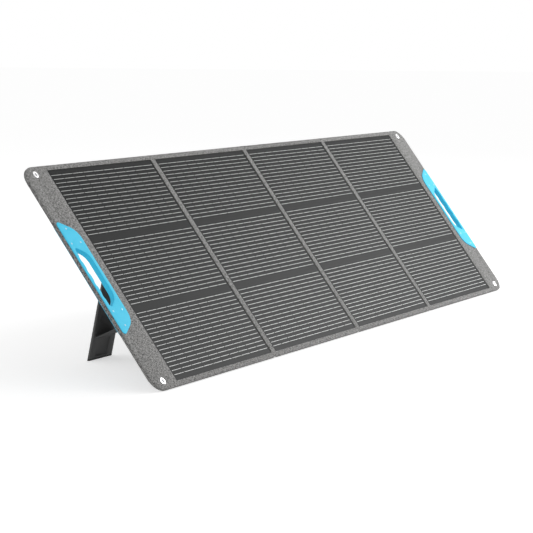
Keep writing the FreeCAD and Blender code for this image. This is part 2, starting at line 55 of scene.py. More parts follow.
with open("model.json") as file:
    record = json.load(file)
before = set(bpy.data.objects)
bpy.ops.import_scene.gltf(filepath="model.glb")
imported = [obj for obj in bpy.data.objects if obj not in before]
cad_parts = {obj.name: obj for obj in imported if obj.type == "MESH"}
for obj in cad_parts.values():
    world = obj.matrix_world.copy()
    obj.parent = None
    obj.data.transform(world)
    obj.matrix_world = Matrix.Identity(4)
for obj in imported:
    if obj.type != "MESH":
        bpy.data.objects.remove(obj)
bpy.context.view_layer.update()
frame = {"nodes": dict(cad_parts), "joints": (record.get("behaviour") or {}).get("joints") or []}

JOINTS = {joint["name"]: joint for joint in frame["joints"]}
SIDES = {"left": -1, "right": 1}
SECTIONS = ("left_outer", "left_inner", "right_inner", "right_outer")

# Sizes that the CAD frame fixes.
FOLD_PITCH = 0.496
STRIP_HALF = 0.008
FOLD_AXIS_RISE = 0.0005
PANEL_HEIGHT = 0.622
HALF_HEIGHT = PANEL_HEIGHT / 2
HALF_LENGTH = 1.079
THICKNESS = 0.009
COVER = 0.0015
BORDER = 0.010
WINDOW_LENGTH = 0.476
CELL_PITCH = 0.0465
CELL_WIDTH = 0.0455
CELLS_PER_ROW = 10
CELL_ROWS = 3
ROW_PITCH = 0.1972
CELL_HEIGHT = 0.182
WIRES_PER_CELL = 16
PLATE = 0.002
CORNER = 0.040
HANDLE_HALF = 0.161
EYELET_INSET = 0.042
EYELET_RISE = 0.022

# Distances and sizes that only the looks need.
TOUCH = 0.0001
MERGE = 0.00001
CREASE_GAP = 0.0004
EYELET_CLEAR = 0.008
CORNER_REACH = 0.0385
CORNER_STEP = 0.012
THREAD_HALF = 0.0003
THREAD_RISE = 0.00018
STITCH_SHARE = 0.3
STRAP_THICKNESS = 0.0012
STRAP_END = 0.002

# Each handle screw's distance from the panel's end and from mid height.
SCREW_PLACES = ((0.014, 0.094), (0.0515, 0.094), (0.0265, 0.1346))

# The stage: each lamp's name, place, target, size and power, then floor, world and camera.
LAMPS = (
    ("key_lamp", (1.2, -4.2, 3.6), (0.2, 0, 0.2), 3.0, 20),
    ("right_lamp", (4.2, -2.4, 2.0), (0.6, 0, 0.25), 2.2, 140),
    ("left_fill", (-4.6, -2.0, 0.9), (-0.7, 0.1, 0.2), 1.6, 24),
)
FLOOR_SIZE = 80
FLOOR_GLOW = 0.56
WORLD_LIGHT = 0.53
CAMERA_PLACE = (-4.945, -2.527, 0.808)
CAMERA_TARGET = (-0.551, -0.1999, 0.2394)
CAMERA_LENS = 135.3

# The panel frame and the leg frames in the frame's own space.
_fold = JOINTS["left_fold"]
LEAN_ANGLE = math.atan2(_fold["axis"][2], _fold["axis"][1])
_turn = Matrix.Rotation(LEAN_ANGLE, 4, "X")
_origin = Vector(_fold["pos_m"]) - _turn @ Vector((-FOLD_PITCH, HALF_HEIGHT, FOLD_AXIS_RISE))
LEAN = Matrix.Translation(_origin) @ _turn
LEG_OPEN = math.radians(JOINTS["left_leg_hinge"]["range_deg"][1])


def stand(side):
    """A leg's frame: origin on the hinge axis, y up the leg, z out of the side with the window."""
    place = Matrix.Translation(Vector(JOINTS[side + "_leg_hinge"]["pos_m"]))
    return place @ Matrix.Rotation(LEAN_ANGLE + LEG_OPEN, 4, "X")


# ---------------------------------------------------------------- settings

def length(name, description, default, low=0.0, high=1.0):
    return FloatProperty(name=name, description=description, default=default, min=low, max=high,
                         unit="LENGTH", precision=5)


def colour(name, description, default):
    return FloatVectorProperty(name=name, description=description, default=default, size=3,
                               min=0.0, max=1.0, subtype="COLOR")


class SolarPanelShape(bpy.types.PropertyGroup):
    """Sizes of the visible pieces"""
    cover_round: length("Cover edge", "Rounding of the front cover's edges", 0.0006)
    back_round: length("Back edge", "Rounding of the back cover's outer edge", 0.0018)
    handle_round: length("Handle edge", "Rounding of the handle plates' edges", 0.0007)
    small_round: length("Small edge", "Rounding of the small moulded and metal pieces", 0.0004)
    wire_width: length("Wire width", "Width of the fine silver wires", 0.00108)
    wire_height: length("Wire height", "How far a wire stands out of the film", 0.00012)
    wire_break: length("Wire break", "Gap in a wire between two cells", 0.0034)
    eyelet_round: length("Eyelet edge", "Rounding of the eyelets' rims", 0.00045)
    leg_round: length("Leg edge", "Rounding of the leg boards' edges", 0.0006)
    foot_round: length("Foot edge", "Rounding of the rubber feet's edges", 0.0005)
    hem_inset: length("Hem inset", "How far in the hem's stitches run", 0.006)
    stitch_pitch: length("Stitch pitch", "From one stitch of the hem to the next", 0.0045)
    strap_sag: length("Strap sag", "How far the strap hangs in its middle", 0.004)


class SolarPanelColours(bpy.types.PropertyGroup):
    """Colours of the finishes"""
    heather_light: colour("Heather light", "Light fibres of the cover cloth", (0.43, 0.425, 0.415))
    heather_dark: colour("Heather dark", "Dark fibres of the cover cloth", (0.06, 0.06, 0.06))
    cell: colour("Cell", "Solar cells under the film", (0.010, 0.011, 0.011))
    cell_gap: colour("Cell gap", "Black sheet between the cells", (0.013, 0.014, 0.014))
    wire: colour("Wire", "Fine silver wires", (0.50, 0.51, 0.50))
    handle: colour("Handle", "Sky blue handle plastic", (0.045, 0.66, 0.95))
    leg: colour("Leg", "Charcoal leg plastic", (0.11, 0.11, 0.111))
    strap: colour("Strap", "Dark grey strap webbing", (0.17, 0.17, 0.17))
    thread: colour("Thread", "Thread of the hem's stitches", (0.36, 0.355, 0.35))
    metal: colour("Metal", "Hinge pins, rivets and box screws", (0.78, 0.79, 0.80))
    eyelet: colour("Eyelet", "Corner eyelets", (0.86, 0.87, 0.88))
    # Painted reflection: the handle screws are metal, and the blue in this colour is the blue
    # handle round them reflected in the heads, painted into their base colour.
    screw: colour("Screw", "Handle screws, tinted by the blue round them", (0.40, 0.66, 0.76))
    rubber: colour("Rubber", "Feet and box seal", (0.018, 0.018, 0.018))
    box: colour("Box", "Junction box and its socket", (0.022, 0.022, 0.022))
    silicon: colour("Silicon", "Solar cells, bare", (0.02, 0.022, 0.03))
    backsheet: colour("Backing sheet", "Sheet behind the cells", (0.03, 0.03, 0.03))
    ribbon: colour("Ribbon", "Tinned bus ribbons", (0.7, 0.7, 0.68))
    board: colour("Board", "Stiff board in each section", (0.55, 0.52, 0.42))
    card: colour("Card", "Circuit card of the diodes", (0.02, 0.22, 0.10))
    diode: colour("Diode", "Cases of the diodes", (0.02, 0.02, 0.02))
    floor: colour("Floor", "Pale floor", (0.80, 0.80, 0.80))


# ---------------------------------------------------------------- modelling helpers

def mean_point(points):
    total = Vector((0, 0, 0))
    for point in points:
        total += point
    return total / len(points)


def clear_selection():
    if bpy.context.object and bpy.context.object.mode != "OBJECT":
        bpy.ops.object.mode_set(mode="OBJECT")
    bpy.ops.object.select_all(action="DESELECT")


def pick(piece):
    """Makes a piece the only one selected, and the active one."""
    clear_selection()
    piece.select_set(True)
    bpy.context.view_layer.objects.active = piece
    return piece


def apply_place(piece):
    pick(piece)
    bpy.ops.object.transform_apply(location=True, rotation=True, scale=True)
    return piece


def block(name, low, high):
    """A box from its low and high corners."""
    clear_selection()
    low, high = Vector(low), Vector(high)
    bpy.ops.mesh.primitive_cube_add(size=1, location=(low + high) / 2, scale=high - low)
    piece = bpy.context.object
    piece.name = name
    return apply_place(piece)


def rod(name, centre, radius, depth, sides=24):
    """A cylinder along z round its centre."""
    clear_selection()
    bpy.ops.mesh.primitive_cylinder_add(vertices=sides, radius=radius, depth=depth, location=centre)
    piece = bpy.context.object
    piece.name = name
    return apply_place(piece)


def join(pieces, name):
    """Several pieces as one."""
    clear_selection()
    for piece in pieces:
        piece.select_set(True)
    bpy.context.view_layer.objects.active = pieces[0]
    if len(pieces) > 1:
        bpy.ops.object.join()
    pieces[0].name = name
    return pieces[0]


def copied(piece, offset):
    """A copy with a mesh of its own, moved."""
    pick(piece)
    bpy.ops.object.duplicate()
    double = bpy.context.object
    double.location = Vector(offset)
    return apply_place(double)


def apply_modifier(piece, kind, **settings):
    pick(piece)
    modifier = piece.modifiers.new(kind.title(), kind)
    for name, value in settings.items():
        setattr(modifier, name, value)
    bpy.ops.object.modifier_apply(modifier=modifier.name)
    return piece


def round_edges(piece, width, segments=2, angle=35.0):
    return apply_modifier(piece, "BEVEL", width=width, segments=segments, limit_method="ANGLE",
                          angle_limit=math.radians(angle), use_clamp_overlap=False,
                          miter_outer="MITER_ARC")


def select_edges(piece, test):
    """Selects the edges whose two ends pass the test, and goes to edit mode."""
    pick(piece)
    bpy.context.tool_settings.mesh_select_mode = (False, True, False)
    bpy.ops.object.mode_set(mode="EDIT")
    bpy.ops.mesh.select_all(action="DESELECT")
    bpy.ops.object.mode_set(mode="OBJECT")
    spots = [vertex.co for vertex in piece.data.vertices]
    for edge in piece.data.edges:
        edge.select = test(spots[edge.vertices[0]], spots[edge.vertices[1]])
    bpy.ops.object.mode_set(mode="EDIT")


def select_faces(piece, test):
    """Selects the faces whose centre and normal pass the test, and goes to edit mode."""
    pick(piece)
    bpy.context.tool_settings.mesh_select_mode = (False, False, True)
    bpy.ops.object.mode_set(mode="EDIT")
    bpy.ops.mesh.select_all(action="DESELECT")
    bpy.ops.object.mode_set(mode="OBJECT")
    for face in piece.data.polygons:
        face.select = test(face.center, face.normal)
    bpy.ops.object.mode_set(mode="EDIT")


def shape_of(node, name, placing=None):
    """A new piece with a node's shape, its triangles merged into faces, in the given frame."""
    piece = bpy.data.objects.new(name, frame["nodes"][node].data.copy())
    bpy.context.collection.objects.link(piece)
    piece.data.materials.clear()
    pick(piece)
    bpy.ops.mesh.customdata_custom_splitnormals_clear()
    bpy.ops.object.mode_set(mode="EDIT")
    bpy.ops.mesh.select_all(action="SELECT")
    bpy.ops.mesh.remove_doubles(threshold=MERGE)
    bpy.ops.mesh.dissolve_limited(angle_limit=math.radians(0.5))
    bpy.ops.object.mode_set(mode="OBJECT")
    if placing is not None:
        piece.matrix_world = placing.inverted()
        apply_place(piece)
    return piece


def repeat(piece, count, offset):
    """Copies a piece in a row, each copy moved on by the offset."""
    return apply_modifier(piece, "ARRAY", count=count, use_relative_offset=False,
                          use_constant_offset=True, constant_offset_displace=offset)


def remember_place(piece):
    """Keeps each point's place in the piece's own frame, which a woven pattern follows."""
    places = piece.data.attributes.new("rest_place", "FLOAT_VECTOR", "POINT")
    for vertex, place in zip(piece.data.vertices, places.data):
        place.vector = vertex.co


def finish_piece(piece, finish, placing=LEAN, cloth=False, smooth=35.0):
    """Smooths a piece, puts it in its place and gives it its finish."""
    pick(piece)
    bpy.ops.object.shade_smooth_by_angle(angle=math.radians(smooth))
    if cloth:
        remember_place(piece)
    piece.matrix_world = placing
    apply_place(piece)
    piece.data.materials.clear()
    piece.data.materials.append(finish)
    return piece


def dress(node, name, width, finish, body, placing=LEAN, segments=2):
    """Puts a rounded and finished piece in a node's place, on the node's body."""
    piece = shape_of(node, name, placing)
    round_edges(piece, width, segments)
    finish_piece(piece, finish, placing)
    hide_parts(node)
    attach(piece, body)
    return piece


# ---------------------------------------------------------------- finishes

def tone(name):
    """One of the scene's colours, by its name."""
    return tuple(getattr(bpy.context.scene.solar_panel_colours, name))


def new_finish(name):
    """A material by name; a new one comes with its shader and a function that adds nodes."""
    finish = bpy.data.materials.get(name)
    if finish is not None:
        return finish, None, None
    finish = bpy.data.materials.new(name)
    finish.use_nodes = True
    tree = finish.node_tree
    shader = tree.nodes["Principled BSDF"]

    def add(kind, inputs=None, **settings):
        node = tree.nodes.new("ShaderNode" + kind)
        for key, value in settings.items():
            setattr(node, key, value)
        for key, value in (inputs or {}).items():
            if isinstance(value, bpy.types.NodeSocket):
                tree.links.new(value, node.inputs[key])
            else:
                node.inputs[key].default_value = value
        return node

    add.link = tree.links.new
    return finish, shader, add


def set_shader(shader, colour_value, roughness, specular=0.5, metallic=0.0, sheen=0.0):
    shader.inputs["Base Color"].default_value = (*colour_value, 1.0)
    shader.inputs["Roughness"].default_value = roughness
    shader.inputs["Specular IOR Level"].default_value = specular
    shader.inputs["Metallic"].default_value = metallic
    shader.inputs["Sheen Weight"].default_value = sheen


def add_bump(add, shader, height, distance, strength=1.0):
    bump = add("Bump", {"Height": height, "Strength": strength, "Distance": distance})
    add.link(bump.outputs["Normal"], shader.inputs["Normal"])


def heather_finish():
    """Woven cloth of light and dark fibres; its pattern follows the cloth."""
    finish, shader, add = new_finish("heather_cloth")
    if shader is None:
        return finish
    set_shader(shader, tone("heather_light"), roughness=0.9, specular=0.2, sheen=0.15)
    place = add("Attribute", attribute_name="rest_place").outputs["Vector"]
    flecks = []
    for stretch in ((130, 520, 400), (520, 130, 400)):
        mapping = add("Mapping", {"Vector": place, "Scale": stretch})
        noise = add("TexNoise", {"Vector": mapping.outputs["Vector"], "Scale": 1.0,
                                 "Detail": 3.0, "Roughness": 0.7})
        flecks.append(noise.outputs["Fac"])
    both = add("Math", {0: flecks[0], 1: flecks[1]}, operation="ADD")
    ramp = add("MapRange", {"Value": both.outputs[0], "From Min": 0.86, "From Max": 1.14})
    mix = add("Mix", {0: ramp.outputs["Result"]}, data_type="RGBA")
    mix.inputs[6].default_value = (*tone("heather_dark"), 1.0)
    mix.inputs[7].default_value = (*tone("heather_light"), 1.0)
    add.link(mix.outputs[2], shader.inputs["Base Color"])
    waves = []
    for direction in ("X", "Y"):
        wave = add("TexWave", {"Vector": place, "Scale": 260.0, "Distortion": 0.6},
                   bands_direction=direction)
        waves.append(wave.outputs["Fac"])
    weave = add("Math", {0: waves[0], 1: waves[1]}, operation="MAXIMUM")
    add_bump(add, shader, weave.outputs[0], distance=0.0003, strength=0.5)
    return finish


def panel_coordinates(add):
    """Object coordinates turned into the panel frame."""
    back = LEAN.inverted()
    points = add("TexCoord").outputs["Object"]
    return add("Mapping", {"Vector": points, "Location": back.to_translation(),
                           "Rotation": back.to_euler()}).outputs["Vector"]


def past_start(add, value, start, pitch):
    """How far a coordinate lies past the last start of a repeat; ten pitches keep it above zero."""
    shifted = add("Math", {0: value, 1: 10 * pitch - start}, operation="ADD")
    return add("Math", {0: shifted.outputs[0], 1: pitch}, operation="FLOORED_MODULO").outputs[0]


def laminate_finish():
    """Dark cells under a clear film with a fine moulded texture."""
    finish, shader, add = new_finish("laminate_film")
    if shader is None:
        return finish
    set_shader(shader, tone("cell"), roughness=0.46, specular=0.06)
    place = panel_coordinates(add)
    split = add("SeparateXYZ", {0: place})
    local = past_start(add, split.outputs["X"], BORDER, FOLD_PITCH)
    first = (WINDOW_LENGTH - (CELLS_PER_ROW - 1) * CELL_PITCH - CELL_WIDTH) / 2
    along = past_start(add, local, first, CELL_PITCH)
    up = past_start(add, split.outputs["Y"], HALF_HEIGHT - CELL_HEIGHT / 2, ROW_PITCH)
    in_x = add("Math", {0: along, 1: CELL_WIDTH}, operation="LESS_THAN")
    in_y = add("Math", {0: up, 1: CELL_HEIGHT}, operation="LESS_THAN")
    cell = add("Math", {0: in_x.outputs[0], 1: in_y.outputs[0]}, operation="MULTIPLY")
    cloud = add("TexNoise", {"Vector": place, "Scale": 9.0, "Detail": 2.0})
    tint = add("MapRange", {"Value": cloud.outputs["Fac"], "To Min": 0.88, "To Max": 1.12})
    mix = add("Mix", {0: cell.outputs[0]}, data_type="RGBA")
    mix.inputs[6].default_value = (*tone("cell_gap"), 1.0)
    mix.inputs[7].default_value = (*tone("cell"), 1.0)
    shade = add("VectorMath", {0: mix.outputs[2], "Scale": tint.outputs["Result"]},
                operation="SCALE")
    add.link(shade.outputs[0], shader.inputs["Base Color"])
    dimples = add("TexVoronoi", {"Vector": place, "Scale": 650.0})
    add_bump(add, shader, dimples.outputs["Distance"], distance=0.00006, strength=0.6)
    return finish


def plastic_finish(name, colour_value, roughness=0.45, grain=700.0, depth=0.00004, specular=0.5):
    """Moulded plastic with a fine grain and a slight change of tone."""
    finish, shader, add = new_finish(name)
    if shader is None:
        return finish
    set_shader(shader, colour_value, roughness, specular=specular)
    points = add("TexCoord").outputs["Object"]
    cloud = add("TexNoise", {"Vector": points, "Scale": 14.0, "Detail": 3.0})
    tint = add("MapRange", {"Value": cloud.outputs["Fac"], "To Min": 0.94, "To Max": 1.06})
    shade = add("VectorMath", {0: colour_value, "Scale": tint.outputs["Result"]}, operation="SCALE")
    add.link(shade.outputs[0], shader.inputs["Base Color"])
    fine = add("TexNoise", {"Vector": points, "Scale": grain, "Detail": 2.0})
    add_bump(add, shader, fine.outputs["Fac"], distance=depth, strength=0.6)
    return finish


def metal_finish(name, colour_value, roughness=0.28, metallic=1.0):
    """Bright metal with fine scratches."""
    finish, shader, add = new_finish(name)
    if shader is None:
        return finish
    set_shader(shader, colour_value, roughness, metallic=metallic)
    points = add("TexCoord").outputs["Object"]
    mapping = add("Mapping", {"Vector": points, "Scale": (900, 60, 60)})
    scratch = add("TexNoise", {"Vector": mapping.outputs["Vector"], "Scale": 1.0, "Detail": 3.0})
    spread = add("MapRange", {"Value": scratch.outputs["Fac"], "To Min": roughness - 0.06,
                              "To Max": roughness + 0.08})
    add.link(spread.outputs["Result"], shader.inputs["Roughness"])
    return finish


def webbing_finish(name, colour_value):
    """Ribbed woven tape."""
    finish, shader, add = new_finish(name)
    if shader is None:
        return finish
    set_shader(shader, colour_value, roughness=0.85, specular=0.25, sheen=0.1)
    place = add("Attribute", attribute_name="rest_place").outputs["Vector"]
    fibres = add("TexNoise", {"Vector": place, "Scale": 900.0, "Detail": 2.0})
    tint = add("MapRange", {"Value": fibres.outputs["Fac"], "To Min": 0.75, "To Max": 1.3})
    shade = add("VectorMath", {0: colour_value, "Scale": tint.outputs["Result"]}, operation="SCALE")
    add.link(shade.outputs[0], shader.inputs["Base Color"])
    ribs = add("TexWave", {"Vector": place, "Scale": 230.0}, bands_direction="X")
    add_bump(add, shader, ribs.outputs["Fac"], distance=0.0003, strength=0.6)
    return finish


def handle_finish():
    return plastic_finish("handle_plastic", tone("handle"), roughness=0.42)


def leg_finish():
    return plastic_finish("leg_plastic", tone("leg"), roughness=0.5, grain=500.0, depth=0.00006)


def rubber_finish():
    return plastic_finish("black_rubber", tone("rubber"), roughness=0.8, grain=900.0,
                          depth=0.00005, specular=0.3)


def box_finish():
    return plastic_finish("box_plastic", tone("box"), roughness=0.5)


def bright_finish():
    return metal_finish("bright_metal", tone("metal"))


# ---------------------------------------------------------------- pieces

def section_ends(section):
    """Where a section starts and ends along the panel, at the middles of its folds."""
    left = (SECTIONS.index(section) - 2) * FOLD_PITCH
    return left, left + FOLD_PITCH


def front_cover(side):
    """The front cloth of two sections in one piece, with rows of cuts across their fold."""
    outer, inner = side + "_outer", side + "_inner"
    fold = SIDES[side] * FOLD_PITCH
    halves = []
    for section in (outer, inner):
        half = shape_of(section + "_front_fabric", section + "_cloth", LEAN)
        for vertex in half.data.vertices:
            if abs(vertex.co.x - fold) < CREASE_GAP:
                vertex.co.x = fold
        select_faces(half, lambda centre, normal:
                     abs(centre.x - fold) < TOUCH and abs(normal.x) > 0.9)
        bpy.ops.mesh.delete(type="FACE")
        bpy.ops.object.mode_set(mode="OBJECT")
        halves.append(half)
    cover = join(halves, side + "_front_cover")
    bpy.ops.object.mode_set(mode="EDIT")
    bpy.ops.mesh.select_all(action="SELECT")
    bpy.ops.mesh.remove_doubles(threshold=MERGE)
    for step in range(-4, 5):
        bpy.ops.mesh.select_all(action="SELECT")
        bpy.ops.mesh.bisect(plane_co=(fold + step * STRIP_HALF / 4, 0, 0), plane_no=(1, 0, 0))
    bpy.ops.object.mode_set(mode="OBJECT")
    round_edges(cover, bpy.context.scene.solar_panel_shape.cover_round)
    finish_piece(cover, heather_finish(), cloth=True)
    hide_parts(outer + "_front_fabric", inner + "_front_fabric")
    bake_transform(cover)
    return cover


class SOLARPANEL_OT_front_covers(bpy.types.Operator):
    """Sews the front cloth with its windows"""
    bl_idname = "solarpanel.front_covers"
    bl_label = "Front covers"

    def execute(self, context):
        for side in SIDES:
            front_cover(side)
        return {"FINISHED"}


class SOLARPANEL_OT_spine_cloth(bpy.types.Operator):
    """Lays the soft strip of the middle fold, in two halves, each cut into eight narrow bands along
    the fold
    """
    bl_idname = "solarpanel.spine_cloth"
    bl_label = "Middle fold cloth"

    def execute(self, context):
        for side, sign in SIDES.items():
            near, far = sorted((0.0, sign * STRIP_HALF))
            strip = block(side + "_spine_cloth", (near, 0, -COVER), (far, PANEL_HEIGHT, 0))
            bpy.ops.object.mode_set(mode="EDIT")
            for step in range(1, 8):
                bpy.ops.mesh.select_all(action="SELECT")
                cut = near + step * STRIP_HALF / 8
                bpy.ops.mesh.bisect(plane_co=(cut, 0, 0), plane_no=(1, 0, 0))
            bpy.ops.object.mode_set(mode="OBJECT")
            finish_piece(strip, heather_finish(), cloth=True)
            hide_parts("spine_strip")
            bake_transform(strip)
        return {"FINISHED"}


def on_back_rim(one, two, ends):
    """Tells whether an edge of the back face lies on its section's outline."""
    if max(abs(one.z + THICKNESS), abs(two.z + THICKNESS)) > TOUCH:
        return False
    middle = (one + two) / 2
    if min(abs(middle.x - ends[0]), abs(middle.x - ends[1]), abs(middle.y),
           abs(middle.y - PANEL_HEIGHT)) < TOUCH:
        return True
    along, rise = abs(middle.x), min(middle.y, PANEL_HEIGHT - middle.y)
    in_corner = along > HALF_LENGTH - EYELET_INSET and rise < CORNER_REACH
    eyelet = Vector((HALF_LENGTH - EYELET_INSET, EYELET_RISE))
    by_eyelet = (Vector((along, rise)) - eyelet).length < EYELET_CLEAR
    return in_corner and not by_eyelet and (one - two).length < CORNER_STEP


class SOLARPANEL_OT_back_covers(bpy.types.Operator):
    """Wraps each section's edges and back in cloth"""
    bl_idname = "solarpanel.back_covers"
    bl_label = "Back covers"

    def execute(self, context):
        shape = context.scene.solar_panel_shape
        for section in SECTIONS:
            node = section + "_back_cover"
            cover = shape_of(node, section + "_back_cloth", LEAN)
            left, right = section_ends(section)
            ends = (-HALF_LENGTH if section == "left_outer" else left + STRIP_HALF,
                    HALF_LENGTH if section == "right_outer" else right - STRIP_HALF)
            select_edges(cover, lambda one, two: on_back_rim(one, two, ends))
            bpy.ops.mesh.bevel(offset=shape.back_round, segments=3, affect="EDGES",
                               clamp_overlap=False)
            bpy.ops.object.mode_set(mode="OBJECT")
            finish_piece(cover, heather_finish(), cloth=True)
            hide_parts(node)
            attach(cover, section)
        return {"FINISHED"}


class SOLARPANEL_OT_wires(bpy.types.Operator):
    """Lays the fine silver wires on each laminate, broken between cells"""
    bl_idname = "solarpanel.wires"
    bl_label = "Silver wires"

    def execute(self, context):
        shape = context.scene.solar_panel_shape
        pitch = CELL_HEIGHT / WIRES_PER_CELL
        dash = CELL_PITCH - shape.wire_break
        finish = metal_finish("silver_wire", tone("wire"), roughness=0.5, metallic=0.35)
        for section in SECTIONS:
            left = section_ends(section)[0] + BORDER
            first = (WINDOW_LENGTH - (CELLS_PER_ROW - 1) * CELL_PITCH - dash) / 2
            low = HALF_HEIGHT - ROW_PITCH - (WIRES_PER_CELL - 1) / 2 * pitch - shape.wire_width / 2
            wires = block(section + "_wires", (left + first, low, -COVER),
                          (left + first + dash, low + shape.wire_width, -COVER + shape.wire_height))
            repeat(wires, CELLS_PER_ROW, (CELL_PITCH, 0, 0))
            repeat(wires, WIRES_PER_CELL, (0, pitch, 0))
            repeat(wires, CELL_ROWS, (0, ROW_PITCH, 0))
            finish_piece(wires, finish)
            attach(wires, section)
        return {"FINISHED"}


class SOLARPANEL_OT_stitching(bpy.types.Operator):
    """Sews the hem along the panel's edges with a row of short stitches"""
    bl_idname = "solarpanel.stitching"
    bl_label = "Hem stitches"

    def execute(self, context):
        shape = context.scene.solar_panel_shape
        thread = webbing_finish("hem_thread", tone("thread"))
        inset, pitch = shape.hem_inset, shape.stitch_pitch
        half_long = STITCH_SHARE * pitch
        for section in SECTIONS:
            left, right = section_ends(section)
            low_x, high_x = left + STRIP_HALF, right - STRIP_HALF
            rows = []
            if section.endswith("outer"):
                sign = SIDES[section.split("_")[0]]
                end = HALF_LENGTH - CORNER
                low_x, high_x = (-end, high_x) if sign < 0 else (low_x, end)
                side_run = HALF_HEIGHT - HANDLE_HALF - CORNER
                x = sign * (HALF_LENGTH - inset)
                above = HALF_HEIGHT + HANDLE_HALF + pitch
                rows += [((x, CORNER, 0), (0, pitch, 0), side_run),
                         ((x, above, 0), (0, pitch, 0), side_run - pitch)]
            rows += [((low_x + pitch, y, 0), (pitch, 0, 0), high_x - low_x - 2 * pitch)
                     for y in (inset, PANEL_HEIGHT - inset)]
            seams = []
            for start, step, run in rows:
                half = Vector((half_long, THREAD_HALF, THREAD_RISE) if step[0] else
                              (THREAD_HALF, half_long, THREAD_RISE))
                middle = Vector(start) + Vector(step) / 2
                stitch = block("stitch", middle - half, middle + half)
                seams.append(repeat(stitch, int(run / pitch), step))
            seam = join(seams, section + "_hem_stitches")
            finish_piece(seam, thread, cloth=True)
            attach(seam, section)
        return {"FINISHED"}


class SOLARPANEL_OT_handles(bpy.types.Operator):
    """Moulds the two clamped plates of each carrying handle"""
    bl_idname = "solarpanel.handles"
    bl_label = "Handles"

    def execute(self, context):
        shape = context.scene.solar_panel_shape
        for side in SIDES:
            for half in ("front", "back"):
                node = "%s_handle_%s" % (side, half)
                dress(node, node + "_plate", shape.handle_round, handle_finish(),
                      side + "_outer", segments=3)
        return {"FINISHED"}


def screw(name, head_radius, head_height, shank_radius, shank_length, recess):
    """A pan-head screw with a round recess, its head's underside at z = 0."""
    head = rod(name, (0, 0, head_height / 2), head_radius, head_height, sides=20)
    select_faces(head, lambda centre, normal: normal.z > 0.9)
    bpy.ops.mesh.inset(thickness=head_radius - recess, depth=0)
    bpy.ops.mesh.extrude_region_move(TRANSFORM_OT_translate={"value": (0, 0, -head_height * 0.5)})
    bpy.ops.object.mode_set(mode="OBJECT")
    round_edges(head, head_height * 0.3)
    shank = rod(name + "_shank", (0, 0, -shank_length / 2), shank_radius, shank_length, sides=12)
    return join([head, shank], name)


class SOLARPANEL_OT_handle_screws(bpy.types.Operator):
    """Sets six screws in each handle"""
    bl_idname = "solarpanel.handle_screws"
    bl_label = "Handle screws"

    def execute(self, context):
        # The screws' base colour holds a painted reflection of the blue handle plastic round them.
        finish = metal_finish("screw_metal", tone("screw"), roughness=0.45, metallic=0.5)
        for side, sign in SIDES.items():
            model = screw(side + "_screw", head_radius=0.0025, head_height=0.0008,
                          shank_radius=0.0014, shank_length=0.012, recess=0.0012)
            screws = [copied(model, (sign * (HALF_LENGTH - inset), HALF_HEIGHT + up * rise, PLATE))
                      for up in (-1, 1) for inset, rise in SCREW_PLACES]
            bpy.data.objects.remove(model)
            piece = join(screws, side + "_handle_screw_set")
            finish_piece(piece, finish)
            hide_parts(side + "_handle_screws")
            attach(piece, side + "_outer")
        return {"FINISHED"}


class SOLARPANEL_OT_eyelets(bpy.types.Operator):
    """Rolls the rims of the corner eyelets"""
    bl_idname = "solarpanel.eyelets"
    bl_label = "Eyelets"

    def execute(self, context):
        shape = context.scene.solar_panel_shape
        finish = metal_finish("eyelet_metal", tone("eyelet"), roughness=0.3, metallic=0.6)
        for side in SIDES:
            dress(side + "_eyelets", side + "_eyelet_rings", shape.eyelet_round, finish,
                  side + "_outer", segments=3)
        return {"FINISHED"}


class SOLARPANEL_OT_leg_hinges(bpy.types.Operator):
    """Makes the hinge bases, their pins and rivets on the outer sections' backs"""
    bl_idname = "solarpanel.leg_hinges"
    bl_label = "Leg hinges"

    def execute(self, context):
        small = context.scene.solar_panel_shape.small_round
        for side in SIDES:
            for ending, width, finish, slot in (
                    ("_hinge_base", small, leg_finish(), "leg_plastic"),
                    ("_hinge_pin", small, bright_finish(), "plated_steel"),
                    ("_hinge_rivets", small * 1.5, bright_finish(), "plated_steel")):
                node = side + ending
                dress(node, node + "_piece", width, finish, side + "_outer")
        return {"FINISHED"}


class SOLARPANEL_OT_legs(bpy.types.Operator):
    """Moulds the leg boards and their rubber feet"""
    bl_idname = "solarpanel.legs"
    bl_label = "Legs"

    def execute(self, context):
        shape = context.scene.solar_panel_shape
        for side in SIDES:
            for ending, width, finish, slot in (
                    ("_leg_board", shape.leg_round, leg_finish(), "leg_plastic"),
                    ("_leg_foot", shape.foot_round, rubber_finish(), "black_rubber"),
                    ("_strap_leg_bar", shape.small_round, leg_finish(), "leg_plastic")):
                node = side + ending
                dress(node, node + "_piece", width, finish, side + "_leg", stand(side))
        return {"FINISHED"}


